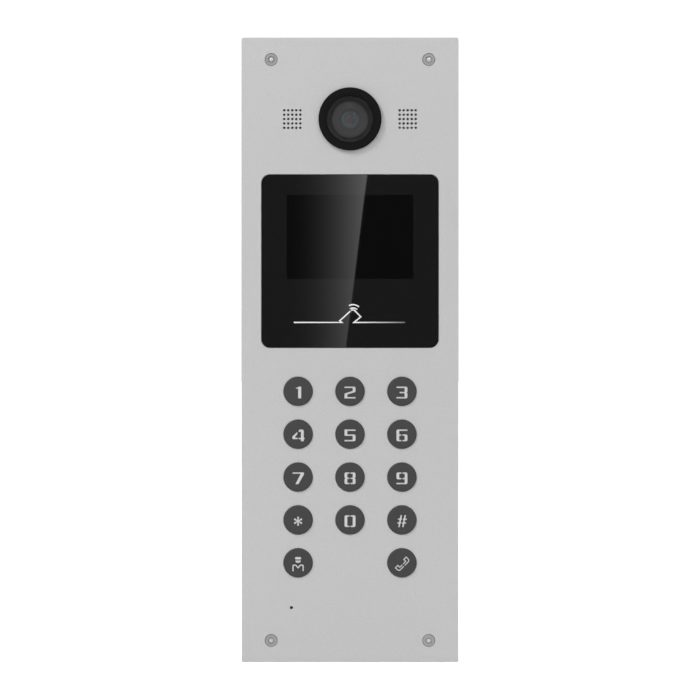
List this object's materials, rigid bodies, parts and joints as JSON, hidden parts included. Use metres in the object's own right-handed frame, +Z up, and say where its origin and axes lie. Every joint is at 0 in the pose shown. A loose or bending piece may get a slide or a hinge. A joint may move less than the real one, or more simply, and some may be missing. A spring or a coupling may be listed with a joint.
{
  "type": "video intercom door station",
  "caption": "Flush-mounted video door station: tall aluminium panel with camera, speaker grilles, dark display glass, card reader area, round key pad, microphone and rear housing.",
  "frame": {"origin": "middle of the wall plane, where the rear of the foam gasket meets the wall", "axes": "+X to the right as seen from the street, +Y into the wall, +Z up"},
  "size_m": [0.1404, 0.0535, 0.4046],
  "materials": {
    "panel_aluminium": "fine bead-blasted, clear anodised",
    "screw_steel": "satin, turned",
    "key_metal": "satin dark grey metal",
    "key_light": "translucent, diffusing",
    "display_glass": "black-printed behind, polished",
    "display_module": "dark display, switched off",
    "camera_plastic": "fine moulded texture",
    "clear_window": "clear, polished",
    "lens_metal": "satin black anodised",
    "lens_glass": "coated, polished",
    "housing_plastic": "moulded fine texture",
    "grey_plastic": "moulded",
    "black_foam": "closed-cell foam",
    "silicone": "matt moulded silicone",
    "speaker_cloth": "fine acoustic mesh",
    "speaker_plastic": "matt",
    "circuit_board": "solder-masked",
    "plain_steel": "plated",
    "terminal_plastic": "moulded"
  },
  "bodies": {
    "station": {"faceplate": "panel_aluminium", "wall_gasket": "black_foam", "display_glass": "display_glass", "lcd_panel": "display_module", "lcd_bracket": "grey_plastic", "card_antenna_board": "circuit_board", "keypad_mat": "silicone", "keypad_board": "circuit_board", "main_board": "circuit_board", "housing_seal": "black_foam", "rear_housing": "housing_plastic", "camera_bezel": "camera_plastic", "camera_nut": "camera_plastic", "camera_window": "clear_window", "camera_shroud": "camera_plastic", "lens_barrel": "lens_metal", "front_lens": "lens_glass", "camera_board": "circuit_board", "mic_boot": "black_foam", "mic_capsule": "plain_steel", "network_socket": "plain_steel", "lock_terminal": "terminal_plastic", "power_terminal": "terminal_plastic", "speaker_left": "speaker_plastic", "speaker_right": "speaker_plastic", "speaker_mesh_left": "speaker_cloth", "speaker_mesh_right": "speaker_cloth", "panel_screw_1": "screw_steel", "panel_screw_2": "screw_steel", "panel_screw_3": "screw_steel", "panel_screw_4": "screw_steel"},
    "key_1": {"key_1_cap": "key_metal", "key_1_light": "key_light"},
    "key_2": {"key_2_cap": "key_metal", "key_2_light": "key_light"},
    "key_3": {"key_3_cap": "key_metal", "key_3_light": "key_light"},
    "key_4": {"key_4_cap": "key_metal", "key_4_light": "key_light"},
    "key_5": {"key_5_cap": "key_metal", "key_5_light": "key_light"},
    "key_6": {"key_6_cap": "key_metal", "key_6_light": "key_light"},
    "key_7": {"key_7_cap": "key_metal", "key_7_light": "key_light"},
    "key_8": {"key_8_cap": "key_metal", "key_8_light": "key_light"},
    "key_9": {"key_9_cap": "key_metal", "key_9_light": "key_light"},
    "key_star": {"key_star_cap": "key_metal", "key_star_light": "key_light"},
    "key_0": {"key_0_cap": "key_metal", "key_0_light": "key_light"},
    "key_hash": {"key_hash_cap": "key_metal", "key_hash_light": "key_light"},
    "key_concierge": {"key_concierge_cap": "key_metal", "key_concierge_light": "key_light"},
    "key_call": {"key_call_cap": "key_metal", "key_call_light": "key_light"},
    "tamper": {"tamper_plunger": "housing_plastic"}
  },
  "joints": [
    {"name": "key_1_press", "type": "slide", "parent": "station", "child": "key_1", "axis": [0, 1, 0], "range_m": [0, 0.0008], "stiffness_N_per_m": 1500, "springref_m": -0.0008, "deforming": ["keypad_mat"]},
    {"name": "key_2_press", "type": "slide", "parent": "station", "child": "key_2", "axis": [0, 1, 0], "range_m": [0, 0.0008], "stiffness_N_per_m": 1500, "springref_m": -0.0008, "deforming": ["keypad_mat"]},
    {"name": "key_3_press", "type": "slide", "parent": "station", "child": "key_3", "axis": [0, 1, 0], "range_m": [0, 0.0008], "stiffness_N_per_m": 1500, "springref_m": -0.0008, "deforming": ["keypad_mat"]},
    {"name": "key_4_press", "type": "slide", "parent": "station", "child": "key_4", "axis": [0, 1, 0], "range_m": [0, 0.0008], "stiffness_N_per_m": 1500, "springref_m": -0.0008, "deforming": ["keypad_mat"]},
    {"name": "key_5_press", "type": "slide", "parent": "station", "child": "key_5", "axis": [0, 1, 0], "range_m": [0, 0.0008], "stiffness_N_per_m": 1500, "springref_m": -0.0008, "deforming": ["keypad_mat"]},
    {"name": "key_6_press", "type": "slide", "parent": "station", "child": "key_6", "axis": [0, 1, 0], "range_m": [0, 0.0008], "stiffness_N_per_m": 1500, "springref_m": -0.0008, "deforming": ["keypad_mat"]},
    {"name": "key_7_press", "type": "slide", "parent": "station", "child": "key_7", "axis": [0, 1, 0], "range_m": [0, 0.0008], "stiffness_N_per_m": 1500, "springref_m": -0.0008, "deforming": ["keypad_mat"]},
    {"name": "key_8_press", "type": "slide", "parent": "station", "child": "key_8", "axis": [0, 1, 0], "range_m": [0, 0.0008], "stiffness_N_per_m": 1500, "springref_m": -0.0008, "deforming": ["keypad_mat"]},
    {"name": "key_9_press", "type": "slide", "parent": "station", "child": "key_9", "axis": [0, 1, 0], "range_m": [0, 0.0008], "stiffness_N_per_m": 1500, "springref_m": -0.0008, "deforming": ["keypad_mat"]},
    {"name": "key_star_press", "type": "slide", "parent": "station", "child": "key_star", "axis": [0, 1, 0], "range_m": [0, 0.0008], "stiffness_N_per_m": 1500, "springref_m": -0.0008, "deforming": ["keypad_mat"]},
    {"name": "key_0_press", "type": "slide", "parent": "station", "child": "key_0", "axis": [0, 1, 0], "range_m": [0, 0.0008], "stiffness_N_per_m": 1500, "springref_m": -0.0008, "deforming": ["keypad_mat"]},
    {"name": "key_hash_press", "type": "slide", "parent": "station", "child": "key_hash", "axis": [0, 1, 0], "range_m": [0, 0.0008], "stiffness_N_per_m": 1500, "springref_m": -0.0008, "deforming": ["keypad_mat"]},
    {"name": "key_concierge_press", "type": "slide", "parent": "station", "child": "key_concierge", "axis": [0, 1, 0], "range_m": [0, 0.0008], "stiffness_N_per_m": 1500, "springref_m": -0.0008, "deforming": ["keypad_mat"]},
    {"name": "key_call_press", "type": "slide", "parent": "station", "child": "key_call", "axis": [0, 1, 0], "range_m": [0, 0.0008], "stiffness_N_per_m": 1500, "springref_m": -0.0008, "deforming": ["keypad_mat"]},
    {"name": "tamper_press", "type": "slide", "parent": "station", "child": "tamper", "axis": [0, -1, 0], "range_m": [0, 0.002], "stiffness_N_per_m": 400, "springref_m": -0.002}
  ]
}
